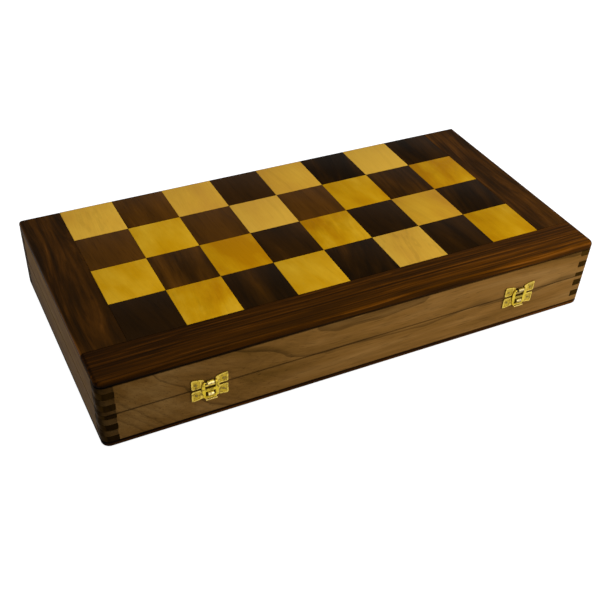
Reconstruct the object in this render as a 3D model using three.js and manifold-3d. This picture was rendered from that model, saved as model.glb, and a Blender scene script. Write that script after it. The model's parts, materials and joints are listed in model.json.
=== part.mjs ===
// Folding chess board: a flat wooden box of two hinged halves, whose outer faces carry the squares.
// Millimetres, +X along the box, +Y towards the hinges, +Z up. The origin is the middle of the underside.
// Both halves are drawn alike, outer face down on z = 0 with the rim at the top, and the lid is mirrored.

import * as THREE from "three";
import { mergeVertices } from "three/addons/utils/BufferGeometryUtils.js";
import Module from "manifold-3d";

const wasm = await Module();
wasm.setup();

// The squares, and the strips that frame them on three sides and lip over the backing board
const squareSize = 48;
const squaresAlong = 8;
const rowsPerHalf = 4;
const borderWidth = 36.6;
const squareThickness = 3;
const grooveWidth = 0.5;
const grooveDepth = 0.3;
const stripLip = 6;

// Each half of the box. Its outer edge is rounded over, and the strips are eased where they meet the walls
const panelThickness = 5.6;
const wallHeight = 28.4;
const wallThickness = 13;
const cornerRadius = 7;
const edgeRadius = 3;
const jointEase = 1;

// The box joints run up the whole box, which is then sawn into its two halves
const fingersUpBox = 10;
const sawLoss = 4;

// The lining
const liningThickness = 2;
const liningSideGap = 0.5;

// Clearances: glued or seated faces, the closed rims, the folded-out backs, and how far cutters run past
const fitGap = 0.3;
const seamGap = 0.4;
const foldGap = 0.6;
const cutOverrun = 10;
const weldDistance = 1e-4;

// The hinges
const hingeInset = 80;
const hingeLength = 32;
const leafWidth = 9.5;
const leafThickness = 1.2;
const leafCornerRadius = 1.5;
const barrelRadius = 2.5;
const barrelGap = 0.4;
const knuckleCount = 5;
const hingePinRadius = 1;
const hingeScrews = 2;
const hingeScrewInset = 6;
const screwHeadRadius = 2.1;
const screwHeadDepth = 1.1;
const screwShankRadius = 1.1;
const screwLength = 11;
const screwTipLength = 3;
const screwSlotWidth = 0.6;
const screwSlotDepth = 0.4;

// The clasps
const leftClaspInset = 87.5;
const rightClaspInset = 77;
const claspSheet = 0.8;
const claspHalfWidth = 15.3;
const claspEdgeGap = 1;
const platePair = {
  plate: { earHeight: 10.8, innerHeight: 9.9, waistHeight: 8.6, nailHeight: 5 },
  catch: { earHeight: 11.4, innerHeight: 10.5, waistHeight: 9.6, nailHeight: 5.8 },
};
const earInnerX = 8.2;
const waistX = 4.6;
const waistCurveReach = 1.6;
const plateCornerRadius = 1.6;
const earRim = 1.2;
const earSunk = 0.3;
const nailX = 11.4;
const nailHeadRadius = 1.3;
const nailHeadHeight = 0.5;
const nailShankRadius = 0.7;
const nailLength = 8;
const nailTipLength = 1.5;

// The swinging hasp, the tongue that it hangs in and the tongue that it hooks over
const knuckleHeight = 5.9;
const knuckleRadius = 1.8;
const knuckleHalfWidth = 2.7;
const hookDepth = 5.6;
const hookRadius = 1.8;
const hookHalfWidth = 2.4;
const tongueRoot = 2.4;
const tongueSlotReach = 0.4;
const haspBarRadius = 0.7;
const haspThickness = 0.8;
const haspShoulderX = 5.7;
const haspBellyX = 7.5;
const haspLowerX = 7;
const haspFootX = 5.8;
const haspBellyHeight = 2.6;
const haspFootHeight = 1.4;
const haspTopRise = 0.2;
const haspCornerRadius = 0.5;
const haspCurveReach = 2.5;
const haspSideGap = 1.7;
const haspRunGap = 0.6;
const haspBridgeHeight = 2.6;
const lipRadius = 1.5;
const lipHalfWidth = 4.6;
const lipLap = 0.5;
const lipSweep = 2.2;

// How finely round shapes are faceted
const cornerSteps = 8;
const edgeSteps = 5;
const rodSides = 16;
const screwSides = 14;
const lipSteps = 7;
const outlineSteps = 3;

// Sizes that follow from those above
const halfHeight = panelThickness + wallHeight;
const rimHeight = halfHeight - seamGap / 2;
const wallFoot = panelThickness + fitGap;
const fingerPitch = (2 * wallHeight + sawLoss) / fingersUpBox;
const fieldLength = squaresAlong * squareSize;
const fieldDepth = rowsPerHalf * squareSize;
const boardLength = fieldLength + 2 * borderWidth;
const boardWidth = fieldDepth + borderWidth;
const left = -boardLength / 2;
const right = boardLength / 2;
const front = -boardWidth / 2;
const back = boardWidth / 2;
const fieldLeft = left + borderWidth;
const fieldRight = right - borderWidth;
const fieldFront = front + borderWidth;
const coreFoot = squareThickness + fitGap;
const hingeAxisY = back + foldGap / 2;
const barrelCutRadius = barrelRadius + barrelGap;
const plateOut = fitGap + claspSheet;
const earOut = plateOut - earSunk;
const haspBackOut = plateOut + fitGap;
const haspFrontOut = haspBackOut + haspThickness;
const knuckleOut = fitGap + knuckleRadius;
const hookOut = fitGap + hookRadius;
const tongueBoreRadius = haspBarRadius + fitGap;
const windowTop = hookDepth - hookRadius - haspRunGap;
const windowFoot = hookDepth + hookRadius + haspRunGap;
const haspFootDepth = windowFoot + haspFootHeight;

// Woods and metals
const woods = {
  light: new THREE.Color(0xc8963c),
  dark: new THREE.Color(0x2e1a0f),
};
const finishes = {
  border: { color: 0x45260f, roughness: 0.45, metalness: 0 },
  frontWall: { color: 0x7a5228, roughness: 0.5, metalness: 0 },
  sideWall: { color: 0x5c4a34, roughness: 0.5, metalness: 0 },
  core: { color: 0xa8825a, roughness: 0.7, metalness: 0 },
  lining: { color: 0x1f4a2c, roughness: 0.95, metalness: 0 },
  brass: { color: 0xd2b64a, roughness: 0.25, metalness: 1 },
  screw: { color: 0xb89b45, roughness: 0.35, metalness: 1 },
};

// A three.js geometry as a solid that can be cut and joined.
function solidOf(geometry) {
  const bare = geometry.clone();
  bare.deleteAttribute("normal");
  bare.deleteAttribute("uv");
  const merged = mergeVertices(bare, weldDistance);
  const triVerts = new Uint32Array(merged.index.array);
  const vertProperties = merged.getAttribute("position").array;
  return new wasm.Manifold(new wasm.Mesh({ numProp: 3, vertProperties, triVerts }));
}

// The solid's faces, each flat shaded.
function geometryOf(solid) {
  const { vertProperties, triVerts, numProp } = solid.getMesh();
  const indexed = new THREE.BufferGeometry();
  indexed.setAttribute("position", new THREE.BufferAttribute(vertProperties, numProp));
  indexed.setIndex(new THREE.BufferAttribute(triVerts, 1));
  const flat = indexed.toNonIndexed();
  flat.computeVertexNormals();
  return flat;
}

function joined(first, ...others) {
  return others.reduce((whole, next) => whole.add(next), first);
}

function cut(body, tools) {
  return tools.reduce((rest, tool) => rest.subtract(tool), body);
}

function named(name, solid, finish) {
  const mesh = new THREE.Mesh(geometryOf(solid), new THREE.MeshStandardMaterial(finish));
  mesh.name = name;
  return mesh;
}

// A block between two opposite corners.
function block(low, high) {
  const size = high.map((end, axis) => end - low[axis]);
  const geometry = new THREE.BoxGeometry(...size);
  geometry.translate(...low.map((start, axis) => start + size[axis] / 2));
  return solidOf(geometry);
}

// A round rod along X, centred on a point.
function rodAlongX(radius, length, x, y, z) {
  const geometry = new THREE.CylinderGeometry(radius, radius, length, rodSides);
  geometry.rotateZ(Math.PI / 2);
  geometry.translate(x, y, z);
  return solidOf(geometry);
}

// A tube along X, centred on a point.
function tubeAlongX(radius, bore, length, x, y, z) {
  const ring = new THREE.Shape();
  ring.absarc(0, 0, radius, 0, 2 * Math.PI, false);
  const hole = new THREE.Path();
  hole.absarc(0, 0, bore, 0, 2 * Math.PI, true);
  ring.holes.push(hole);
  const options = { depth: length, bevelEnabled: false, curveSegments: rodSides / 2 };
  const geometry = new THREE.ExtrudeGeometry(ring, options);
  geometry.rotateY(Math.PI / 2);
  geometry.translate(x - length / 2, y, z);
  return solidOf(geometry);
}

// A closed outline through points given as x, y and the reach of the curve that rounds the corner there.
function roundedOutline(points) {
  const shape = new THREE.Shape();
  points.forEach(([x, y, radius], index) => {
    const corner = new THREE.Vector2(x, y);
    const before = new THREE.Vector2(...points.at(index - 1).slice(0, 2));
    const after = new THREE.Vector2(...points[(index + 1) % points.length].slice(0, 2));
    const reachIn = Math.min(radius, corner.distanceTo(before) / 2);
    const reachOut = Math.min(radius, corner.distanceTo(after) / 2);
    const start = before.sub(corner).setLength(reachIn).add(corner);
    const end = after.sub(corner).setLength(reachOut).add(corner);
    if (index === 0) shape.moveTo(start.x, start.y);
    else shape.lineTo(start.x, start.y);
    shape.quadraticCurveTo(corner.x, corner.y, end.x, end.y);
  });
  shape.closePath();
  return shape;
}

// Points on the right of an outline, and their mirror images on its left, in one round.
function bothSides(points) {
  const mirrored = points.map(([x, y, radius]) => [-x, y, radius]).reverse();
  return [...points, ...mirrored];
}

// A sheet cut to an outline that is drawn on the wall, x along the box and y up from the seam.
function sheetOffWall(shape, gapBehind, thickness) {
  const options = { depth: thickness, bevelEnabled: false, curveSegments: outlineSteps };
  const geometry = new THREE.ExtrudeGeometry(shape, options);
  geometry.rotateX(Math.PI / 2);
  geometry.translate(0, -gapBehind, 0);
  return solidOf(geometry);
}

// The plan of a half between two heights, its front corners rounded and its edges rounded over.
// The back stays square, where the two halves meet when the board is open.
function roundedSlab(foot, top, edge) {
  const beyondBack = back + cutOverrun;
  const plan = new THREE.Shape();
  plan.moveTo(left, beyondBack);
  plan.lineTo(left, front + cornerRadius);
  plan.absarc(left + cornerRadius, front + cornerRadius, cornerRadius, Math.PI, 1.5 * Math.PI, false);
  plan.absarc(right - cornerRadius, front + cornerRadius, cornerRadius, 1.5 * Math.PI, 2 * Math.PI, false);
  plan.lineTo(right, beyondBack);
  plan.closePath();
  const geometry = new THREE.ExtrudeGeometry(plan, {
    depth: top - foot - 2 * edge,
    bevelThickness: edge,
    bevelSize: edge,
    bevelOffset: -edge,
    bevelSegments: edgeSteps,
    curveSegments: cornerSteps,
  });
  geometry.translate(0, 0, foot + edge);
  return solidOf(geometry);
}

const envelope = roundedSlab(0, halfHeight + cutOverrun, edgeRadius);
const panelEnvelope = roundedSlab(-cutOverrun, panelThickness, jointEase).intersect(envelope);

// A strip of squares, glued up end to end and faced off, with a fine line at each joint.
function squaresRow(index) {
  const profile = new THREE.Shape();
  profile.moveTo(fieldLeft + fitGap / 2, 0);
  for (let joint = 1; joint < squaresAlong; joint += 1) {
    const x = fieldLeft + joint * squareSize;
    profile.lineTo(x - grooveWidth / 2, 0);
    profile.lineTo(x, grooveDepth);
    profile.lineTo(x + grooveWidth / 2, 0);
  }
  profile.lineTo(fieldRight - fitGap / 2, 0);
  profile.lineTo(fieldRight - fitGap / 2, squareThickness);
  profile.lineTo(fieldLeft + fitGap / 2, squareThickness);
  profile.closePath();
  const backFace = back - index * squareSize - (index === 0 ? 0 : fitGap / 2);
  const frontFace = back - (index + 1) * squareSize + fitGap / 2;
  const options = { depth: backFace - frontFace, bevelEnabled: false };
  const geometry = new THREE.ExtrudeGeometry(profile, options);
  geometry.rotateX(Math.PI / 2);
  geometry.translate(0, backFace, 0);
  return geometry;
}

// Gives each square of a row the colour of its wood, by where the middle of each face lies.
function paintSquares(geometry, lightFirst) {
  const position = geometry.getAttribute("position");
  const colours = new Float32Array(position.count * 3);
  for (let corner = 0; corner < position.count; corner += 3) {
    const corners = [corner, corner + 1, corner + 2];
    const middle = corners.reduce((sum, vertex) => sum + position.getX(vertex), 0) / 3;
    const column = Math.floor((middle - fieldLeft) / squareSize);
    const wood = (column % 2 === 0) === lightFirst ? woods.light : woods.dark;
    corners.forEach((vertex) => wood.toArray(colours, vertex * 3));
  }
  geometry.setAttribute("color", new THREE.BufferAttribute(colours, 3));
}

function squares(name, index, lightFirst) {
  const geometry = squaresRow(index);
  paintSquares(geometry, lightFirst);
  const finish = { vertexColors: true, roughness: 0.4, metalness: 0 };
  const mesh = new THREE.Mesh(geometry, new THREE.MeshStandardMaterial(finish));
  mesh.name = name;
  return mesh;
}

// The room that the backing board takes in the strips around the squares, which lip over its edges.
function coreRebate() {
  const low = [left + stripLip, front + stripLip, squareThickness];
  const high = [right - stripLip, back + cutOverrun, panelThickness + cutOverrun];
  return block(low, high);
}

function coreBoard() {
  const low = [left + stripLip + fitGap, front + stripLip + fitGap, coreFoot];
  const high = [right - stripLip - fitGap, back, panelThickness];
  return block(low, high);
}

// The strips that frame the squares. The front one runs the whole length, and the side ones butt onto it.
const strips = {
  front: [[left, front, 0], [right, fieldFront - fitGap / 2, panelThickness]],
  left: [[left, fieldFront + fitGap / 2, 0], [fieldLeft - fitGap / 2, back, panelThickness]],
  right: [[fieldRight + fitGap / 2, fieldFront + fitGap / 2, 0], [right, back, panelThickness]],
};

function borderStrip(side) {
  const [low, high] = strips[side];
  return cut(block(low, high), [coreRebate()]).intersect(panelEnvelope);
}

// The four walls, and the corners between them with the wall whose finger is lowest in the closed box.
const walls = {
  front: [[left, front], [right, front + wallThickness]],
  back: [[left, back - wallThickness], [right, back]],
  left: [[left, front], [left + wallThickness, back]],
  right: [[right - wallThickness, front], [right, back]],
};
const corners = [
  { walls: ["left", "front"], x: left, y: front },
  { walls: ["front", "right"], x: right, y: front },
  { walls: ["right", "back"], x: right, y: back },
  { walls: ["back", "left"], x: left, y: back },
];

// The slots in a wall at one corner, which the other wall's fingers fill. The fingers are counted
// from the panel, where the one beside it has the given place in the whole box.
function fingerSlots(side, corner, placeInBox) {
  const runsAlong = side === "front" || side === "back";
  const reach = wallThickness + fitGap;
  const across = wallThickness + cutOverrun;
  const halfX = runsAlong ? reach : across;
  const halfY = runsAlong ? across : reach;
  const slots = [];
  const isLowest = corner.walls[0] === side;
  const firstSlot = isLowest === (placeInBox % 2 === 0) ? 1 : 0;
  for (let finger = firstSlot; finger * fingerPitch < wallHeight; finger += 2) {
    const foot = panelThickness + finger * fingerPitch - fitGap / 2;
    const low = [corner.x - halfX, corner.y - halfY, foot];
    const high = [corner.x + halfX, corner.y + halfY, foot + fingerPitch + fitGap];
    slots.push(block(low, high));
  }
  return slots;
}

function wall(side, placeInBox, fittingCuts) {
  const [low, high] = walls[side];
  const plank = block([...low, wallFoot], [...high, rimHeight]);
  const ends = corners.filter((corner) => corner.walls.includes(side));
  const slots = ends.flatMap((corner) => fingerSlots(side, corner, placeInBox));
  return cut(plank, [...slots, ...fittingCuts]).intersect(envelope);
}

function lining() {
  const inset = wallThickness + liningSideGap;
  const foot = panelThickness + fitGap;
  return block([left + inset, front + inset, foot], [right - inset, back - inset, foot + liningThickness]);
}

// The hinges
const hinges = [
  { name: "left_hinge", x: left + hingeInset },
  { name: "right_hinge", x: right - hingeInset },
];
const screwY = hingeAxisY - (leafWidth + barrelCutRadius) / 2;
const knucklePitch = hingeLength / knuckleCount;
const pinBore = hingePinRadius + fitGap;

function screwPlaces(hinge) {
  const first = hinge.x - hingeLength / 2 + hingeScrewInset;
  const spacing = (hingeLength - 2 * hingeScrewInset) / (hingeScrews - 1);
  return Array.from({ length: hingeScrews }, (_, index) => first + index * spacing);
}

// A countersunk screw, point down, with its head flush at z = 0. Grown all round, it is the hole for itself.
function screwForm(growth, headRise) {
  const profile = [
    [0, -screwLength - growth],
    [screwShankRadius + growth, screwTipLength - screwLength - growth],
    [screwShankRadius + growth, -screwHeadDepth],
    [screwHeadRadius + growth, 0],
    [screwHeadRadius + growth, headRise],
    [0, headRise],
  ];
  const points = profile.map(([radius, height]) => new THREE.Vector2(radius, height));
  return new THREE.LatheGeometry(points, screwSides).rotateX(Math.PI / 2);
}

function hingeScrew() {
  const half = screwSlotWidth / 2;
  const driverSlot = block([-screwHeadRadius, -half, -screwSlotDepth], [screwHeadRadius, half, cutOverrun]);
  return cut(solidOf(screwForm(0, 0)), [driverSlot]);
}

function screwHole(x) {
  return solidOf(screwForm(fitGap, cutOverrun).translate(x, screwY, rimHeight));
}

// One leaf, let in flush with the rim, and every other knuckle of the barrel.
function hingeLeaf(hinge, firstKnuckle) {
  const start = hinge.x - hingeLength / 2;
  const end = hinge.x + hingeLength / 2;
  const frontEdge = hingeAxisY - leafWidth;
  const clearEdge = hingeAxisY - barrelCutRadius;
  const foot = rimHeight - leafThickness;
  const outline = roundedOutline([
    [start, frontEdge, leafCornerRadius],
    [end, frontEdge, leafCornerRadius],
    [end, clearEdge, 0],
    [start, clearEdge, 0],
  ]);
  const options = { depth: leafThickness, bevelEnabled: false, curveSegments: outlineSteps };
  const rounded = new THREE.ExtrudeGeometry(outline, options);
  rounded.translate(0, 0, foot);
  const pieces = [solidOf(rounded)];
  for (let knuckle = firstKnuckle; knuckle < knuckleCount; knuckle += 2) {
    const low = start + knuckle * knucklePitch + fitGap / 2;
    const high = low + knucklePitch - fitGap;
    const rollEdge = hingeAxisY - (barrelRadius + pinBore) / 2;
    pieces.push(block([low, frontEdge + leafCornerRadius, foot], [high, rollEdge, rimHeight]));
    pieces.push(tubeAlongX(barrelRadius, pinBore, high - low, (low + high) / 2, hingeAxisY, halfHeight));
  }
  return cut(joined(...pieces), screwPlaces(hinge).map(screwHole));
}

// What a hinge takes out of the back wall: the leaf's seat, the barrel's hollow and the screw holes.
function hingeCuts(hinge) {
  const halfLength = hingeLength / 2 + fitGap;
  const seatFront = hingeAxisY - leafWidth - fitGap;
  const seatFoot = rimHeight - leafThickness - fitGap;
  const low = [hinge.x - halfLength, seatFront, seatFoot];
  const high = [hinge.x + halfLength, back + cutOverrun, rimHeight + cutOverrun];
  const hollow = rodAlongX(barrelCutRadius, 2 * halfLength, hinge.x, hingeAxisY, halfHeight);
  return [block(low, high), hollow, ...screwPlaces(hinge).map(screwHole)];
}

function hingePin(hinge) {
  return rodAlongX(hingePinRadius, hingeLength, hinge.x, hingeAxisY, halfHeight);
}

// The clasps. Each is drawn about the point of the seam behind its middle, on the front of the walls
const clasps = [
  { name: "left_clasp", x: left + leftClaspInset },
  { name: "right_clasp", x: right - rightClaspInset },
];
const nailPlaces = [-nailX, nailX];

// A domed nail along Y with its head outside. Grown all round, it is the hole for itself.
function nailForm(growth) {
  const shank = nailShankRadius + growth;
  const profile = [
    [0, -nailLength - growth],
    [shank, nailTipLength - nailLength - growth],
    [shank, 0],
    [nailHeadRadius, 0],
    [nailHeadRadius * Math.SQRT1_2, nailHeadHeight * Math.SQRT1_2],
    [0, nailHeadHeight],
  ];
  const points = profile.map(([radius, height]) => new THREE.Vector2(radius, height));
  return new THREE.LatheGeometry(points, screwSides).rotateZ(Math.PI);
}

function nailHole(x, y, z) {
  return solidOf(nailForm(fitGap).translate(x, y, z));
}

// The sunk middle of an ear, inside its raised rim.
function earRecess(side, sizes) {
  const outer = side * (claspHalfWidth - earRim);
  const inner = side * earInnerX;
  const seamEdge = -claspEdgeGap - earRim;
  const reach = plateCornerRadius / 2;
  const outline = roundedOutline([
    [inner, seamEdge, reach],
    [outer, seamEdge, reach],
    [outer, earRim - sizes.earHeight, reach],
    [inner, earRim - sizes.innerHeight, reach],
  ]);
  return sheetOffWall(outline, earOut, cutOverrun);
}

// A stamped plate: two ears that flare outwards from a narrow waist, and between them a tongue that
// is cut free at both sides and rolled up.
function claspPlate(sizes, tongue) {
  const rightSide = [
    [claspHalfWidth, -claspEdgeGap, plateCornerRadius],
    [claspHalfWidth, -sizes.earHeight, plateCornerRadius],
    [earInnerX, -sizes.innerHeight, waistCurveReach],
    [waistX, -sizes.waistHeight, waistCurveReach],
    [waistX, -tongueRoot, tongueSlotReach],
    [tongue.halfWidth, -tongueRoot, tongueSlotReach],
    [tongue.halfWidth, -tongue.height, 0],
  ];
  const plate = sheetOffWall(roundedOutline(bothSides(rightSide)), fitGap, claspSheet);
  const rollLength = 2 * tongue.halfWidth;
  const roll = tubeAlongX(tongue.radius, tongueBoreRadius, rollLength, 0, -tongue.out, -tongue.height);
  const recesses = [-1, 1].map((side) => earRecess(side, sizes));
  const holes = nailPlaces.map((x) => nailHole(x, -earOut, -sizes.nailHeight));
  return cut(joined(plate, roll), [...recesses, ...holes]);
}

const tongues = {
  plate: { height: knuckleHeight, radius: knuckleRadius, halfWidth: knuckleHalfWidth, out: knuckleOut },
  catch: { height: hookDepth, radius: hookRadius, halfWidth: hookHalfWidth, out: hookOut },
};

// The rolled lip that a finger lifts, at the free end of the hasp.
function haspLip() {
  const outer = lipRadius + haspThickness / 2;
  const inner = lipRadius - haspThickness / 2;
  const centreHeight = haspFootDepth - lipLap;
  const centreOut = haspBackOut + outer;
  const start = Math.PI / 2;
  const profile = new THREE.Shape();
  profile.absarc(-centreHeight, -centreOut, outer, start, start + lipSweep, false);
  profile.absarc(-centreHeight, -centreOut, inner, start + lipSweep, start, true);
  profile.closePath();
  const options = { depth: 2 * lipHalfWidth, bevelEnabled: false, curveSegments: lipSteps };
  const geometry = new THREE.ExtrudeGeometry(profile, options);
  geometry.rotateY(Math.PI / 2);
  geometry.translate(-lipHalfWidth, 0, 0);
  return solidOf(geometry);
}

// The swinging loop: a bar that turns in the plate's tongue, two legs, a bridge, and a window over the catch.
function hasp() {
  const bridgeTop = windowTop - haspBridgeHeight;
  const topEdge = -knuckleHeight - haspTopRise;
  const rightSide = [
    [haspShoulderX, topEdge, haspCornerRadius],
    [haspBellyX, -haspBellyHeight, haspCurveReach],
    [haspLowerX, windowTop, haspCurveReach],
    [haspFootX, haspFootDepth, haspCornerRadius],
  ];
  const sheet = sheetOffWall(roundedOutline(bothSides(rightSide)), haspBackOut, haspThickness);
  const legGap = knuckleHalfWidth + haspSideGap;
  const hookGap = hookHalfWidth + haspSideGap;
  const outerY = -haspFrontOut - cutOverrun;
  const upper = block([-legGap, outerY, topEdge - cutOverrun], [legGap, 0, bridgeTop]);
  const lower = block([-hookGap, outerY, windowTop], [hookGap, 0, windowFoot]);
  const bar = rodAlongX(haspBarRadius, 2 * haspShoulderX, 0, -knuckleOut, -knuckleHeight);
  return joined(cut(sheet, [upper, lower]), bar, haspLip());
}

// What a clasp has on one half: its plate and nails, and on the lid the hasp that hangs from the plate.
function claspFittings(clasp, part) {
  const fittings = new THREE.Group();
  fittings.position.set(clasp.x, front, halfHeight);
  const sizes = platePair[part];
  fittings.add(named(`${clasp.name}_${part}`, claspPlate(sizes, tongues[part]), finishes.brass));
  nailPlaces.forEach((x, index) => {
    const nail = named(`${clasp.name}_${part}_nail_${index + 1}`, solidOf(nailForm(0)), finishes.brass);
    nail.position.set(x, -earOut, -sizes.nailHeight);
    fittings.add(nail);
  });
  if (part === "plate") fittings.add(named(`${clasp.name}_hasp`, hasp(), finishes.brass));
  return fittings;
}

// The nail holes that one half's plates need in its front wall.
function wallNailHoles(part) {
  const z = halfHeight - platePair[part].nailHeight;
  return clasps.flatMap((clasp) => nailPlaces.map((x) => nailHole(clasp.x + x, front - earOut, z)));
}

// What a hinge has on one half: its leaf and the screws in it.
function hingeFittings(hinge, prefix, firstKnuckle) {
  const fittings = new THREE.Group();
  fittings.add(named(`${hinge.name}_${prefix}_leaf`, hingeLeaf(hinge, firstKnuckle), finishes.brass));
  screwPlaces(hinge).forEach((x, index) => {
    const screw = named(`${hinge.name}_${prefix}_screw_${index + 1}`, hingeScrew(), finishes.screw);
    screw.position.set(x, screwY, rimHeight);
    fittings.add(screw);
  });
  return fittings;
}

// One half of the box with the fittings that are fastened to it.
function half(prefix, { lightRow, placeInBox, firstKnuckle, claspPart }) {
  const group = new THREE.Group();
  const add = (name, solid, finish) => group.add(named(name, solid, finish));
  const cuts = { front: wallNailHoles(claspPart), back: hinges.flatMap(hingeCuts), left: [], right: [] };
  for (let row = 0; row < rowsPerHalf; row += 1) {
    group.add(squares(`${prefix}_squares_row_${row + 1}`, row, row % 2 === lightRow));
  }
  for (const side of Object.keys(strips)) {
    add(`${prefix}_${side}_border`, borderStrip(side), finishes.border);
  }
  for (const side of Object.keys(walls)) {
    const finish = side === "front" ? finishes.frontWall : finishes.sideWall;
    add(`${prefix}_${side}_wall`, wall(side, placeInBox, cuts[side]), finish);
  }
  add(`${prefix}_core`, coreBoard(), finishes.core);
  add(`${prefix}_lining`, lining(), finishes.lining);
  hinges.forEach((hinge) => group.add(hingeFittings(hinge, prefix, firstKnuckle)));
  clasps.forEach((clasp) => group.add(claspFittings(clasp, claspPart)));
  return group;
}

const tray = half("tray", { lightRow: 1, placeInBox: 0, firstKnuckle: 0, claspPart: "catch" });
for (const hinge of hinges) tray.add(named(`${hinge.name}_pin`, hingePin(hinge), finishes.screw));

// The lid's outer face is up, so its half is mirrored in the seam.
const lidPlace = fingersUpBox - 1;
const lid = half("lid", { lightRow: 0, placeInBox: lidPlace, firstKnuckle: 1, claspPart: "plate" });
lid.scale.z = -1;
lid.position.z = 2 * halfHeight;

const chessBoard = new THREE.Group();
chessBoard.name = "folding_chess_board";
chessBoard.add(tray, lid);

export default chessBoard;
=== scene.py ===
import json
import math

import bmesh
import bpy
from mathutils import Matrix, Vector

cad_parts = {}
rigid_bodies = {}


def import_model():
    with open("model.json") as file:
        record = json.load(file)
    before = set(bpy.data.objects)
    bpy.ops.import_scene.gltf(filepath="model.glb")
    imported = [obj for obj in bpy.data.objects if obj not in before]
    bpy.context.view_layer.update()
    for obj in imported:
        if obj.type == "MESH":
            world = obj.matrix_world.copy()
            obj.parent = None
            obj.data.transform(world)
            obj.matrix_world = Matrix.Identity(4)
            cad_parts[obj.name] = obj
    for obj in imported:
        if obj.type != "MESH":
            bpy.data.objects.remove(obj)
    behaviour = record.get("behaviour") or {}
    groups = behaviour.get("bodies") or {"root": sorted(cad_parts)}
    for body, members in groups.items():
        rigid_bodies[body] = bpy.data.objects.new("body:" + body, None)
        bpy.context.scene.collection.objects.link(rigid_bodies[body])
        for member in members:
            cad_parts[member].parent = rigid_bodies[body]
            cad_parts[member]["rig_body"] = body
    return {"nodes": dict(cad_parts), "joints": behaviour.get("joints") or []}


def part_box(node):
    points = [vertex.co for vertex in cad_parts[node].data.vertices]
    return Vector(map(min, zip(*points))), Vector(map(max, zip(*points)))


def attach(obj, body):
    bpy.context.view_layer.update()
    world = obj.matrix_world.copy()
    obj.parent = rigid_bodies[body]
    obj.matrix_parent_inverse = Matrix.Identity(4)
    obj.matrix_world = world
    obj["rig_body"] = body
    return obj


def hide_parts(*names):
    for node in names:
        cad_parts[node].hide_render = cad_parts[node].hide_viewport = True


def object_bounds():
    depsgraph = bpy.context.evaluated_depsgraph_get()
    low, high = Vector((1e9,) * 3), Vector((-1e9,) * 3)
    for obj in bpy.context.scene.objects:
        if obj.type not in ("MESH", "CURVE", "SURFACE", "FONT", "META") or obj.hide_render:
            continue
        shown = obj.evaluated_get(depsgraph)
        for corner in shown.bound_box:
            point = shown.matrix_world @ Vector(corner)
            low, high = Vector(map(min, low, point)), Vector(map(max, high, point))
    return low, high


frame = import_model()
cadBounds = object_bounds()
scene = bpy.context.scene
print("frame loaded,", len(frame["nodes"]), "solids")


# Where the board's main lines lie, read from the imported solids
boxLow, boxHigh = cadBounds
rowLow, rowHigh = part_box("lid_squares_row_1")
seamHeight = boxHigh.z / 2
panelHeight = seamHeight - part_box("tray_front_border")[1].z  # from the seam to a panel's inner face
fieldLeft = (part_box("lid_left_border")[1].x + rowLow.x) / 2
fieldRight = (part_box("lid_right_border")[0].x + rowHigh.x) / 2
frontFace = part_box("lid_front_border")[0].y
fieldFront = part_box("lid_front_border")[1].y
backFace = rowHigh.y
squaresAlong = 8
squareSize = (fieldRight - fieldLeft) / squaresAlong
claspMiddles = [sum(face.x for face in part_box(f"{side}_clasp_plate")) / 2 for side in ("left", "right")]
barHeight = next(joint["pos_m"][2] for joint in frame["joints"] if joint["name"] == "left_hasp_swing")
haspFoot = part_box("left_clasp_hasp")[0].z


# Shader wiring: a Value is one socket, so masks and tones are written as plain expressions
class Value:
    def __init__(self, finish, socket):
        self.finish = finish
        self.socket = socket

    def output(self, name):
        return Value(self.finish, self.socket.node.outputs[name])

    def __add__(self, other):
        return self.finish.math("ADD", self, other)

    def __sub__(self, other):
        return self.finish.math("SUBTRACT", self, other)

    def __rsub__(self, other):
        return self.finish.math("SUBTRACT", other, self)

    def __mul__(self, other):
        return self.finish.math("MULTIPLY", self, other)

    __radd__ = __add__
    __rmul__ = __mul__


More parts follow.
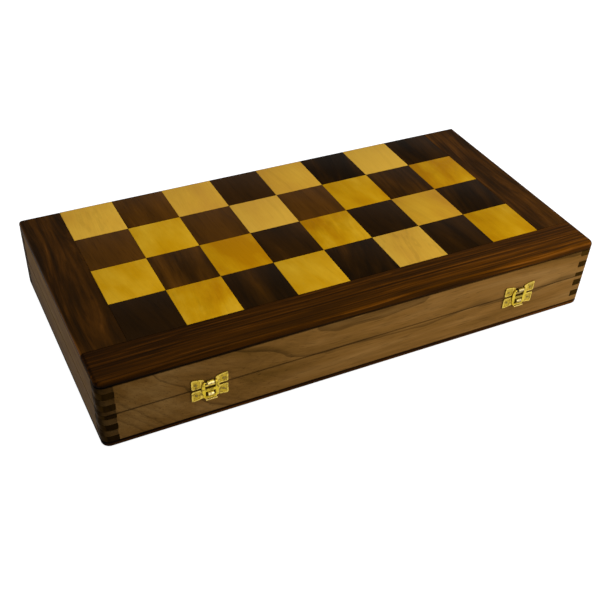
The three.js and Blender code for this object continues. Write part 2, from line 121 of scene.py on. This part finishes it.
class Finish:
    def __init__(self, owner, constants, shader="Principled BSDF"):
        owner.use_nodes = True
        self.owner = owner
        self.nodes = owner.node_tree.nodes
        self.links = owner.node_tree.links
        self.shader = self.nodes[shader]
        for socket, value in constants.items():
            self.shader.inputs[socket].default_value = value

    def add(self, kind, settings, sockets, out=0):
        node = self.nodes.new("ShaderNode" + kind)
        for name, value in settings.items():
            if name == "stops":
                self.setStops(node.color_ramp, value)
            else:
                setattr(node, name, value)
        for name, value in sockets.items():
            self.feed(node.inputs[name], value)
        return Value(self, node.outputs[out])

    def feed(self, socket, value):
        if isinstance(value, Value):
            self.links.new(value.socket, socket)
        else:
            socket.default_value = value

    def setStops(self, ramp, stops):
        while len(ramp.elements) < len(stops):
            ramp.elements.new(1)
        for element, (position, colour) in zip(ramp.elements, stops):
            element.position = position
            element.color = colour

    def math(self, operation, first, second=0.0):
        return self.add("Math", {"operation": operation}, {0: first, 1: second})

    def vector(self, operation, first, second):
        return self.add("VectorMath", {"operation": operation}, {0: first, 1: second})

    def mix(self, factor, first, second, blend="MIX"):
        return self.add("Mix", {"data_type": "RGBA", "blend_type": blend}, {0: factor, 6: first, 7: second}, 2)

    def shade(self, colour, share):  # the colour made darker or lighter by a number
        grey = self.add("CombineXYZ", {}, {0: share, 1: share, 2: share})
        return self.mix(1.0, colour, grey, "MULTIPLY")

    def noise(self, place, stretch, detail, roughness=0.5):
        stretched = self.vector("MULTIPLY", place, stretch)
        return self.add("TexNoise", {}, {"Vector": stretched, "Scale": 1, "Detail": detail, "Roughness": roughness})

    def smooth(self, value, low, high):  # from 0 at low to 1 at high, eased at both ends
        return self.add("MapRange", {"interpolation_type": "SMOOTHSTEP"}, {0: value, 1: low, 2: high})

    def span(self, value, low, high, first, last):  # straight from first at low to last at high
        return self.add("MapRange", {}, {0: value, 1: low, 2: high, 3: first, 4: last})

    def near(self, value, face, depths):  # from 0 at the first depth behind a face to 1 at the second
        return self.smooth(value, face - depths[0], face - depths[1])

    def paint(self, socket, value):
        self.feed(self.shader.inputs[socket], value)

    def relief(self, height, strength, distance):
        self.paint("Normal", self.add("Bump", {}, {"Strength": strength, "Distance": distance, "Height": height}))


def newFinish(name, constants):
    return Finish(bpy.data.materials.new(name), constants)


def tone(red, green, blue):  # a colour written as a screen shows it
    parts = [part / 255 for part in (red, green, blue)]
    return tuple(((part + 0.055) / 1.055) ** 2.4 if part > 0.04 else part / 12.92 for part in parts) + (1,)


# Woods. "along" is the way the grain runs, and "pith" where the tree's middle lay across and below the board.
# Shares in pairs run from the left end to the right, or to "shadeEnd", from the front face to the squares, and
# from the floor up. The shade, corner and seam pairs are painted light and shade, and the joint pairs a dark
# joint line with painted shadow. "Depths" are distances behind a face where a tone begins and where it is full
woodGrain = {
    "bendStretch": (5, 18, 18),
    "streakRoughness": 0.55,
    "fibreStretch": (22, 600, 600),
    "fibreRoughness": 0.12,
    "poreStretch": (50, 1000, 1000),
    "poreRange": (0.6, 0.75),
    "poreSink": 1.5,
    "fleckStretch": (50, 170, 170),
    "fleckRange": (0.54, 0.66),
    "waverStretch": (12, 55, 55),
    "ringRise": (0.5, 0.92),
    "ringEnd": (1, 0.94),
    "squareOffset": (7, 0.4, 0.3),
    "squareFlecks": (0.4, 1),
    "squareTint": (0.3, 1),
    "endStretch": (900, 900, 900),
    "endFigure": {"depth": 0.3, "low": 0.85},
    "endTone": 0.42,
    "endRoughness": 0.2,
    "endDepths": {"X": (0.0035, 0.00117), "Y": (0.00117, 0.00039)},
    "cornerDepths": (0.0133, 0.01264),
    "edgeDepths": (0.0016, 0.00053),
    "skin": 0.0005,
    "jointCore": 0.2,
    # painted shade along the seam between the halves, darker at the left
    "seamReach": 0.0013,
    "seamDepths": (0.85, 0.5),
    "reliefStrength": 0.5,
    "reliefDepth": 0.00012,
}
woodShine = {"Specular IOR Level": 0.01, "IOR": 1.5}

lightWood = {
    "along": "Y",
    "pith": (0.03, -0.05),
    "tones": [(0.3, tone(170, 115, 1)), (0.5, tone(190, 140, 9)), (0.7, tone(204, 159, 34))],
    "tint": tone(205, 160, 68),
    "tintShare": 0.6,
    "streakStretch": (15, 30, 30),
    "streakDetail": 5,
    "bend": 0.016,
    "sweep": None,
    "lineSpacing": 0.008,
    "lineWaver": 0.5,
    "lineDepth": 0.08,
    "fibreDepth": 0.07,
    "poreDepth": 0.07,
    "fleckDepth": 0.14,
    "draw": 4,
    "squareShift": 0.34,
    "squareTurn": 0.5,
    "squareContrast": (0.7, 1.6),
    "cornerTones": None,
    "edgeTone": 1,
    "jointTones": (0.1, 0.1),
    "jointReach": 0.0012,
    "shadeAlong": (1, 1),
    "shadeEnd": boxHigh.x,
    "shadeAcross": (1, 1),
    "shadeUp": (1, 1),
    "roughness": 0.42,
}
darkWood = lightWood | {
    "tones": [(0.26, tone(22, 11, 1)), (0.5, tone(46, 26, 3)), (0.72, tone(82, 49, 8))],
    "tint": tone(56, 34, 10),
    "tintShare": 0.5,
    "streakStretch": (9, 50, 50),
    "streakDetail": 3,
    "bend": 0.02,
    "lineSpacing": 0.006,
    "lineWaver": 0.8,
    "lineDepth": 0.3,
    "fibreDepth": 0.22,
    "poreDepth": 0.3,
    "draw": 4,
    "squareShift": 0.5,
    "squareTurn": 0.4,
    "squareContrast": (0.3, 1.3),
}
sideBorderWood = darkWood | {
    "pith": (0.05, -0.02),
    "tones": [(0.3, tone(26, 13, 1)), (0.46, tone(43, 23, 2)), (0.6, tone(62, 35, 5)), (0.76, tone(88, 52, 14))],
    "streakStretch": (12, 120, 120),
    "streakDetail": 6,
    "bend": 0.06,
    "lineSpacing": 0.004,
    "lineWaver": 1.2,
    "lineDepth": 0.45,
    "squareShift": 0,
    # painted sheen: the lid's side edges made lighter
    "edgeTone": 2.6,
    # dark joint line under the panel, with painted shadow reaching up its side face
    "jointTones": (0.5, 0.5),
    "jointReach": 0.003,
    # painted light: brighter towards the right end
    "shadeAlong": (1.08, 1.25),
}
frontBorderWood = sideBorderWood | {
    "along": "X",
    "tones": [(0.36, tone(38, 19, 1)), (0.48, tone(50, 26, 1)), (0.58, tone(65, 34, 1)), (0.7, tone(92, 52, 9))],
    "streakStretch": (5, 480, 480),
    "streakDetail": 4,
    "bend": 0.012,
    "lineSpacing": 0.0022,
    "lineWaver": 0.6,
    "lineDepth": 0.6,
    "fibreDepth": 0.35,
    # dark joint line with painted shadow in the gap, darker at the left
    "jointTones": (0.1, 0.4),
    # painted light: brighter towards the right end, and lighter towards the border's front edge
    "shadeAlong": (0.6, 1.72),
    "shadeAcross": (1.3, 0.7),
}
frontWallWood = {
    "along": "X",
    "pith": (-0.02, 0.1),
    "tones": [(0.3, tone(104, 72, 27)), (0.5, tone(125, 88, 40)), (0.7, tone(144, 107, 57))],
    "streakStretch": (5, 45, 45),
    "streakDetail": 3,
    "bend": 0.02,
    "lineSpacing": 0.006,
    "lineWaver": 1,
    "lineDepth": 0.62,
    "fibreDepth": 0.25,
    "poreDepth": 0.35,
    "fleckDepth": 0.1,
    "squareShift": 0,
    # painted shade: the corners darkened, strongly at the left and barely at the right
    "cornerTones": (0.38, 0.95),
    "edgeTone": 1,
    "sweep": {"from": -0.03, "length": 0.2, "rise": 0.058},
    # dark joint line with painted shadow in the gap, darker at the left
    "jointTones": (0.1, 0.4),
    "jointReach": 0.0015,
    # painted light: darker at the left end, brighter towards the right
    "shadeAlong": (0.64, 1.15),
    "shadeEnd": 0,
    "shadeAcross": (1, 1),
    "shadeUp": (1, 1),
    "roughness": 0.5,
}
sideWallWood = frontWallWood | {
    "along": "Y",
    "sweep": None,
    "pith": (0, 0.15),
    "tones": [(0.3, tone(95, 63, 9)), (0.5, tone(114, 78, 17)), (0.7, tone(132, 95, 30))],
    "lineSpacing": 0.005,
    "lineWaver": 0.6,
    "lineDepth": 0.5,
    "jointTones": (0.6, 0.6),
    "shadeAlong": (1, 1),
    # painted shade: darker towards the front corner and towards the floor
    "shadeAcross": (0.7, 1),
    "shadeUp": (0.5, 1.05),
}
coreWood = lightWood | {
    "along": "X",
    "tones": [(0.3, tone(140, 104, 66)), (0.5, tone(172, 134, 90)), (0.7, tone(194, 158, 112))],
    "squareShift": 0,
    "roughness": 0.6,
}


# Each square is cut from another spot of the wood, a little turned. Also gives its three chances from 0 to 1
def cutSquares(wood, look, place, grain):
    corner = wood.vector("SUBTRACT", place, (fieldLeft, backFace, -seamHeight / 2))
    cell = wood.vector("FLOOR", wood.vector("DIVIDE", corner, (squareSize, squareSize, seamHeight)), (0, 0, 0))
    cell = wood.vector("ADD", cell, (0, 0, look["draw"]))
    chance = wood.add("TexWhiteNoise", {}, {"Vector": cell}, "Color")
    first = wood.add("SeparateXYZ", {}, {0: chance})
    second, third = first.output("Y"), first.output("Z")
    angle = (third - 0.5) * look["squareTurn"]
    grain = wood.add("VectorRotate", {"rotation_type": "Z_AXIS"}, {"Vector": grain, "Angle": angle})
    grain = wood.vector("ADD", grain, wood.vector("MULTIPLY", chance, woodGrain["squareOffset"]))
    return grain, first, second, third


# The grain wanders a little, and with a sweep its lines come down in arches towards one end of the board
def bendGrain(wood, look, x, grain):
    bend = (wood.noise(grain, woodGrain["bendStretch"], 1) - 0.5) * look["bend"]
    if look["sweep"]:
        sweep = look["sweep"]
        run = wood.span(x, sweep["from"], sweep["from"] - sweep["length"], 0, 1)
        bend = bend - run * run * sweep["rise"]
    return wood.vector("ADD", grain, wood.add("CombineXYZ", {}, {1: bend, 2: bend}))


# Year rings round the pith: each darkens slowly to its own strength, then ends
def ringLines(wood, look, grain):
    fromPith = wood.vector("SUBTRACT", wood.vector("MULTIPLY", grain, (0, 1, 1)), (0, *look["pith"]))
    radius = wood.add("VectorMath", {"operation": "LENGTH"}, {0: fromPith}, 1)
    waver = wood.noise(grain, woodGrain["waverStretch"], 2) * (2 * look["lineWaver"])
    rings = radius * (1 / look["lineSpacing"]) + waver
    phase = wood.math("FRACT", rings)
    strength = wood.add("TexWhiteNoise", {"noise_dimensions": "1D"}, {"W": wood.math("FLOOR", rings)})
    line = wood.smooth(phase, *woodGrain["ringRise"]) * wood.smooth(phase, *woodGrain["ringEnd"])
    return line * strength * strength * look["lineDepth"]


# Painted light and shade on each place: slow painted gradients over the whole box and a painted sheen on the
# lid's side edges, then its darker end grain, painted shade at the corners, a dark joint line with painted shadow,
# and painted shade along the seam. Also gives where end grain shows
def placeShade(wood, look, place, x):
    y, z = x.output("Y"), x.output("Z")
    # painted light and shade: slow gradients along, across and up the box
    share = wood.span(x, boxLow.x, look["shadeEnd"], *look["shadeAlong"])
    share = share * wood.span(y, frontFace, fieldFront, *look["shadeAcross"])
    share = share * wood.span(z, boxLow.z, boxHigh.z, *look["shadeUp"])
    acrossBox = wood.math("ABSOLUTE", x)
    # painted sheen: lightens the lid's side faces where this value is above 1
    lidEdge = wood.near(acrossBox, boxHigh.x, woodGrain["edgeDepths"]) * wood.smooth(z, seamHeight, boxHigh.z)
    share = share * wood.span(lidEdge, 0, 1, 1, look["edgeTone"])
    alongGrain, face = (acrossBox, boxHigh.x) if look["along"] == "X" else (wood.math("ABSOLUTE", y), backFace)
    end = wood.near(alongGrain, face, woodGrain["endDepths"][look["along"]])
    endFigure = woodGrain["endFigure"]
    figure = wood.noise(place, woodGrain["endStretch"], 2) * endFigure["depth"] + endFigure["low"]
    share = share * (1 - end * (1 - figure * woodGrain["endTone"]))
    # painted shade: the corners turned from the light are darkened, most at the left
    if look["cornerTones"]:
        corner = wood.near(alongGrain, face, woodGrain["cornerDepths"])
        share = share * (1 - corner * (1 - wood.span(x, boxLow.x, boxHigh.x, *look["cornerTones"])))
    fromSeam = wood.math("ABSOLUTE", z - seamHeight)
    # dark joint line between panel and wall, with painted shadow in the gap, darker at the left
    reach = look["jointReach"]
    clear = wood.smooth(wood.math("ABSOLUTE", fromSeam - panelHeight), reach * woodGrain["jointCore"], reach)
    jointLineShade = wood.span(x, boxLow.x, boxHigh.x, *look["jointTones"])
    share = share * (jointLineShade + clear * (1 - jointLineShade))
    # painted shade along the seam between the halves, darker at the left
    skin = woodGrain["skin"]
    front, sides = wood.smooth(y, frontFace + skin, frontFace), wood.smooth(acrossBox, boxHigh.x - skin, boxHigh.x)
    nearSeam = wood.math("MAXIMUM", front, sides) * wood.smooth(fromSeam, woodGrain["seamReach"], 0)
    return share * (1 - nearSeam * wood.span(x, boxLow.x, boxHigh.x, *woodGrain["seamDepths"])), end


def makeWood(name, look, seed):
    wood = newFinish(name, woodShine)
    place = wood.add("TexCoord", {}, {}, "Object")
    x = wood.add("SeparateXYZ", {}, {0: place})
    turn = math.radians(90 if look["along"] == "Y" else 0)
    grain = wood.add("Mapping", {}, {"Vector": place, "Location": (seed, 0, 0), "Rotation": (0, 0, turn)})
    shift, contrast, tinted, fleckShare = 0.0, 1.0, 0.0, 1.0
    if look["squareShift"]:
        grain, first, second, third = cutSquares(wood, look, place, grain)
        shift = (first - 0.5) * look["squareShift"]
        contrast = wood.span(third, 0, 1, *look["squareContrast"])
        tinted = wood.smooth(second, *woodGrain["squareTint"]) * look["tintShare"]
        fleckShare = wood.smooth(third, *woodGrain["squareFlecks"])
    grain = bendGrain(wood, look, x, grain)
    streak = wood.noise(grain, look["streakStretch"], look["streakDetail"], woodGrain["streakRoughness"])
    colour = wood.add("ValToRGB", {"stops": look["tones"]}, {0: (streak - 0.5) * contrast + shift + 0.5})
    if look["squareShift"]:
        colour = wood.mix(tinted, colour, look["tint"])
    fibre = wood.noise(grain, woodGrain["fibreStretch"], 2)
    pores = wood.smooth(wood.noise(grain, woodGrain["poreStretch"], 1), *woodGrain["poreRange"]) * look["poreDepth"]
    fleck = wood.smooth(wood.noise(grain, woodGrain["fleckStretch"], 2), *woodGrain["fleckRange"])
    fleck = fleck * fleckShare * look["fleckDepth"]
    share, end = placeShade(wood, look, place, x)
    share = share * (1 - ringLines(wood, look, grain)) * (1 - pores) * (1 - fleck)
    share = share * (1 + (fibre - 0.5) * (2 * look["fibreDepth"]))
    wood.paint("Base Color", wood.shade(colour, share))
    rough = look["roughness"] + woodGrain["fibreRoughness"] * (1 - fibre)
    wood.paint("Roughness", rough + woodGrain["endRoughness"] * end)
    wood.relief(fibre - woodGrain["poreSink"] * pores, woodGrain["reliefStrength"], woodGrain["reliefDepth"])
    return wood.owner


woods = {
    "light_squares": makeWood("goldenWood", lightWood, 0.2),
    "dark_squares": makeWood("darkBrownWood", darkWood, 0.4),
    "sideBorder": makeWood("streakedWood", sideBorderWood, 0.31),
    "frontBorder": makeWood("fineStreakedWood", frontBorderWood, 0.57),
    "front_wall_wood": makeWood("midBrownWood", frontWallWood, 0.13),
    "side_wall_wood": makeWood("sideWallWood", sideWallWood, 0.79),
    "core_board": makeWood("plainBoard", coreWood, 0.93),
}
print("woods made")


# Brass of the clasps and hinges. The clasps' tones run outwards from the wall, in shares of "reach":
# the sunk middles of the ears, their rims, the swinging hasp, the rolled ends painted pale as a highlight, and the
# lips beyond them darker as painted shade
brassLook = {
    "reach": 0.005,
    # the pale stop at 0.72 is a painted highlight on the rolls, the last stop painted shade on the lips
    "tones": [(0.17, tone(174, 145, 16)), (0.21, tone(210, 180, 66)), (0.3, tone(156, 128, 20)),
              (0.42, tone(202, 174, 26)), (0.6, tone(204, 176, 56)), (0.72, tone(244, 222, 150)),
              (0.86, tone(164, 136, 36))],
    # tone of the patina patches and of the painted shade
    "tarnish": tone(92, 70, 16),
    "tarnishShares": (0.72, 0.4),
    # painted shade over the right clasp's middle
    "middle": {"halfWidths": (0.0046, 0.00368), "shares": (0, 0.6)},
    # painted shade on the hasps' lips
    "lip": {"height": 0.0022, "ease": 0.0005, "share": 0.5},
    # painted shade beside the bars and under the rolls
    "nook": {
        "tone": tone(36, 22, 3),
        "share": 0.9,
        "halfHeights": (0.0017, 0.00119),
        "depths": (0.0034, 0.00238),
        "rollStart": (0.000435, 0.001015),
        "rollEnd": (0.0029, 0.00261),
    },
    "patchStretch": (380, 380, 380),
    "patchRange": (0.48, 0.64),
    "patchRoughness": 0.2,
    "grainStretch": (2600, 2600, 2600),
    "grainRoughness": 0.06,
    "metal": 0.7,
    "roughness": 0.32,
    "reliefStrength": 0.3,
    "reliefDepth": 0.00003,
}
hingeBrass = brassLook | {
    "tones": [(0, tone(192, 163, 62)), (1, tone(192, 163, 62))],
    "tarnishShares": (0.35, 0.35),
    "middle": None,
}
nailBrass = hingeBrass | {"tones": [(0, tone(120, 98, 28)), (1, tone(120, 98, 28))], "roughness": 0.35}


# Painted shade beside the hasps' bars and on the lower halves of the rolls
def claspShade(brass, nook, x, out):
    under = barHeight - x.output("Z")
    beside = brass.smooth(brass.math("ABSOLUTE", under), *nook["halfHeights"]) * brass.smooth(out, *nook["depths"])
    below = brass.smooth(under, *nook["rollStart"]) * brass.smooth(under, *nook["rollEnd"])
    return brass.math("MAXIMUM", beside, below) * nook["share"]


def makeBrass(name, look):
    brass = newFinish(name, {"Metallic": look["metal"]})
    place = brass.add("TexCoord", {}, {}, "Object")
    x = brass.add("SeparateXYZ", {}, {0: place})
    out = frontFace - x.output("Y")
    colour = brass.add("ValToRGB", {"stops": look["tones"]}, {0: out * (1 / look["reach"])})
    patch = brass.smooth(brass.noise(place, look["patchStretch"], 3, 0.6), *look["patchRange"])
    grain = brass.noise(place, look["grainStretch"], 2)
    patinaAndShade = patch * brass.span(x, *claspMiddles, *look["tarnishShares"])
    if look["middle"]:  # painted shade on the hasps' lips and over the right clasp's middle
        middle, lip = look["middle"], look["lip"]
        left, right = [brass.math("ABSOLUTE", x - claspMiddle) for claspMiddle in claspMiddles]
        inside = brass.smooth(brass.math("MINIMUM", left, right), *middle["halfWidths"])
        # painted shade over the right clasp's middle
        patinaAndShade = brass.math("MAXIMUM", patinaAndShade, inside * brass.span(x, *claspMiddles, *middle["shares"]))
        # painted shade on the hasps' lips
        lipTop = haspFoot + lip["height"]
        low = brass.smooth(x.output("Z"), lipTop, lipTop - lip["ease"])
        patinaAndShade = brass.math("MAXIMUM", patinaAndShade, inside * low * lip["share"])
        # painted shade: the nook tone laid beside the bars and under the rolls
        colour = brass.mix(inside * claspShade(brass, look["nook"], x, out), colour, look["nook"]["tone"])
    # patina patches and the painted shade above darken the brass together
    brass.paint("Base Color", brass.mix(patinaAndShade, colour, look["tarnish"]))
    brass.paint("Roughness", look["roughness"] + look["patchRoughness"] * patch + look["grainRoughness"] * grain)
    brass.relief(grain, look["reliefStrength"], look["reliefDepth"])
    return brass.owner


metals = {
    "clasp": makeBrass("claspBrass", brassLook),
    "hinge": makeBrass("hingeBrass", hingeBrass),
    "nail": makeBrass("nailBrass", nailBrass),
}


# Felt on the floors of the two halves
feltLook = {
    "shine": {"Sheen Weight": 0.1, "Sheen Roughness": 0.5, "Specular IOR Level": 0.05, "Roughness": 0.95},
    "low": tone(18, 48, 28),
    "high": tone(34, 78, 46),
    "fuzzStretch": (1500, 1500, 1500),
    "fuzzShare": 0.6,
    "patchStretch": (60, 60, 60),
    "patchShare": 0.4,
    "reliefStrength": 0.6,
    "reliefDepth": 0.0004,
}


def makeFelt(name, look):
    felt = newFinish(name, look["shine"])
    place = felt.add("TexCoord", {}, {}, "Object")
    fuzz = felt.noise(place, look["fuzzStretch"], 3, 0.7)
    patch = felt.noise(place, look["patchStretch"], 3)
    share = fuzz * look["fuzzShare"] + patch * look["patchShare"]
    felt.paint("Base Color", felt.mix(share, look["low"], look["high"]))
    felt.relief(fuzz, look["reliefStrength"], look["reliefDepth"])
    return felt.owner


felt = makeFelt("greenFelt", feltLook)
print("metals and felt made")


def finishForm(form, name, material):
    mesh = bpy.data.meshes.new(name)
    form.to_mesh(mesh)
    form.free()
    mesh.materials.append(material)
    piece = bpy.data.objects.new(name, mesh)
    scene.collection.objects.link(piece)
    return piece


def standFor(piece, node):
    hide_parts(node)
    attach(piece, frame["nodes"][node]["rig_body"])


def easedBox(low, high, ease, steps):
    form = bmesh.new()
    bmesh.ops.create_cube(form, size=1)
    bmesh.ops.scale(form, vec=high - low, verts=form.verts)
    bmesh.ops.translate(form, vec=(low + high) / 2, verts=form.verts)
    bmesh.ops.bevel(form, geom=form.edges[:], affect="EDGES", offset=ease, segments=steps, profile=0.5, material=-1)
    return form


def pieceName(node, ending):
    first, *rest = node.split("_")
    return first + "".join(word.capitalize() for word in rest) + ending


# Squares, each its own block with eased edges
squareForm = {"joint": 0.00012, "ease": 0.0002, "easeSteps": 2, "sharp": 50}


def squareBlock(low, high, name, material):
    form = easedBox(low, high, squareForm["ease"], squareForm["easeSteps"])
    for face in form.faces:
        face.smooth = True
    piece = finishForm(form, name, material)
    piece.data.set_sharp_from_angle(angle=math.radians(squareForm["sharp"]))
    return piece


def laySquares(prefix, row, lightFirst):
    node = f"{prefix}_squares_row_{row}"
    low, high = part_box(node)
    half = squareForm["joint"] / 2
    for column in range(squaresAlong):
        slot = "light_squares" if (column % 2 == 0) == lightFirst else "dark_squares"
        start = Vector((fieldLeft + column * squareSize + half, low.y, low.z))
        end = Vector((fieldLeft + (column + 1) * squareSize - half, high.y, high.z))
        piece = squareBlock(start, end, f"{prefix}Square{row}{column + 1}", woods[slot])
        standFor(piece, node)


for prefix, lightRow in (("lid", 1), ("tray", 0)):
    for row in range(1, 5):
        laySquares(prefix, row, row % 2 == lightRow)
print("squares laid")


# Everything else that is rigid: a merged copy of the solid with eased edges and smooth round stretches
eased = {"weld": 1e-6, "flat": 1, "sharp": 32, "steps": 2, "woodEdge": 0.0003, "brassEdge": 0.00012}


def easedCopy(node, ending, material, width):
    form = bmesh.new()
    form.from_mesh(frame["nodes"][node].data)
    bmesh.ops.remove_doubles(form, verts=form.verts, dist=eased["weld"])
    bmesh.ops.dissolve_limit(form, angle_limit=math.radians(eased["flat"]), verts=form.verts, edges=form.edges)
    for face in form.faces:
        face.smooth = True
    piece = finishForm(form, pieceName(node, ending), material)
    sharp = math.radians(eased["sharp"])
    piece.data.set_sharp_from_angle(angle=sharp)
    ease = piece.modifiers.new("eased", "BEVEL")
    ease.width = width
    ease.segments = eased["steps"]
    ease.limit_method = "ANGLE"
    ease.angle_limit = sharp
    ease.harden_normals = True
    standFor(piece, node)


def woodCopy(node, ending, wood):
    easedCopy(node, ending, woods[wood], eased["woodEdge"])


for prefix in ("lid", "tray"):
    for side in ("left", "right"):
        woodCopy(f"{prefix}_{side}_border", "Wood", "sideBorder")
        woodCopy(f"{prefix}_{side}_wall", "Wood", "side_wall_wood")
    woodCopy(f"{prefix}_front_border", "Wood", "frontBorder")
    woodCopy(f"{prefix}_front_wall", "Wood", "front_wall_wood")
    woodCopy(f"{prefix}_back_wall", "Wood", "front_wall_wood")
    woodCopy(f"{prefix}_core", "Board", "core_board")
print("woodwork made")

brassKinds = (  # a part of a node's name, its metal and its slot, first match taken
    ("nail", "nail", "fastener_brass"),
    ("_clasp_", "clasp", "brass"),
    ("_leaf", "hinge", "brass"),
    ("_hinge_", "hinge", "fastener_brass"),
)
for node in sorted(frame["nodes"]):
    kind = next((kind for kind in brassKinds if kind[0] in node), None)
    if kind:
        easedCopy(node, "Brass", metals[kind[1]], eased["brassEdge"])
print("fittings made")


# Linings
liningForm = {"ease": 0.0004, "easeSteps": 2}


def layFelt(prefix):
    node = f"{prefix}_lining"
    low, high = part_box(node)
    piece = finishForm(easedBox(low, high, liningForm["ease"], liningForm["easeSteps"]), f"{prefix}Felt", felt)
    standFor(piece, node)


layFelt("tray")
layFelt("lid")
print("felt laid")


# Floor: pale, white to the camera and in reflections, with the board's soft shadow kept
floorLook = {"size": 12, "pale": 0.4, "lift": 0.88}


def makeFloor(look):
    form = bmesh.new()
    bmesh.ops.create_grid(form, x_segments=1, y_segments=1, size=look["size"] / 2)
    pale = newFinish("paleFloor", {
        "Base Color": (look["pale"],) * 3 + (1,),
        "Roughness": 1,
        "Specular IOR Level": 0,
        "Emission Strength": 1,
    })
    lift = seenOrReflected(pale) * look["lift"]
    pale.paint("Emission Color", pale.add("CombineXYZ", {}, {0: lift, 1: lift, 2: lift}))
    finishForm(form, "floor", pale.owner)


# 1 where a ray comes from the camera, a reflection or through glass, so that these meet plain white
def seenOrReflected(finish):
    fromCamera = finish.add("LightPath", {}, {}, "Is Camera Ray")
    reflected = finish.math("MAXIMUM", fromCamera, fromCamera.output("Is Glossy Ray"))
    return finish.math("MAXIMUM", reflected, fromCamera.output("Is Transmission Ray"))


makeFloor(floorLook)


# Plain soft light: one lamp overhead and one low at the right, in a pale room
lightLook = {"ambient": 0.27, "white": (1, 1, 1, 1)}
lamps = {
    "overhead": {"place": (-0.15, 0.1, 1.5), "aim": (-0.05, 0, 0.03), "width": 1.1, "height": 1.1, "power": 12},
    "right": {"place": (0.62, -0.78, 0.36), "aim": (0.1, -0.1, 0.03), "width": 1.3, "height": 0.5, "power": 7.5},
}


def makeWorld(look):
    world = bpy.data.worlds.new("studio")
    room = Finish(world, {"Color": look["white"], "Strength": look["ambient"]}, "Background")
    white = room.add("Background", {}, {"Color": look["white"], "Strength": 1})
    light = Value(room, room.shader.outputs[0])
    mixed = room.add("MixShader", {}, {0: seenOrReflected(room), 1: light, 2: white})
    room.feed(room.nodes["World Output"].inputs["Surface"], mixed)
    scene.world = world


def hangLamp(name, look):
    data = bpy.data.lights.new(name, "AREA")
    data.shape = "RECTANGLE"
    data.size = look["width"]
    data.size_y = look["height"]
    data.energy = look["power"]
    lamp = bpy.data.objects.new(name, data)
    lamp.location = look["place"]
    lamp.rotation_euler = (Vector(look["aim"]) - lamp.location).to_track_quat("-Z", "Y").to_euler()
    scene.collection.objects.link(lamp)


makeWorld(lightLook)
for name, look in lamps.items():
    hangLamp(name, look)


# Camera at the photograph's angle. Focal length and centre are in the photograph's pixels
view = {
    "side": 600,
    "focal": 901.2,
    "centre": (288, 355),
    "place": (-0.32037, -0.58678, 0.51548),
    "yaw": 27.52,
    "pitch": 41.63,
    "roll": 2.62,
    "sensor": 36,
}


def setCamera(look):
    data = bpy.data.cameras.new("camera")
    data.sensor_width = look["sensor"]
    data.lens = look["focal"] / look["side"] * look["sensor"]
    data.shift_x = 0.5 - look["centre"][0] / look["side"]
    data.shift_y = look["centre"][1] / look["side"] - 0.5
    data.clip_start = 0.01
    camera = bpy.data.objects.new("camera", data)
    turn = Matrix.Rotation(-math.radians(look["yaw"]), 4, "Z")
    tip = Matrix.Rotation(math.radians(90 - look["pitch"]), 4, "X")
    lean = Matrix.Rotation(math.radians(look["roll"]), 4, "Z")
    camera.matrix_world = Matrix.Translation(look["place"]) @ turn @ tip @ lean
    scene.collection.objects.link(camera)
    scene.camera = camera


setCamera(view)
scene.view_settings.view_transform = "Standard"
print("floor, light and camera set")
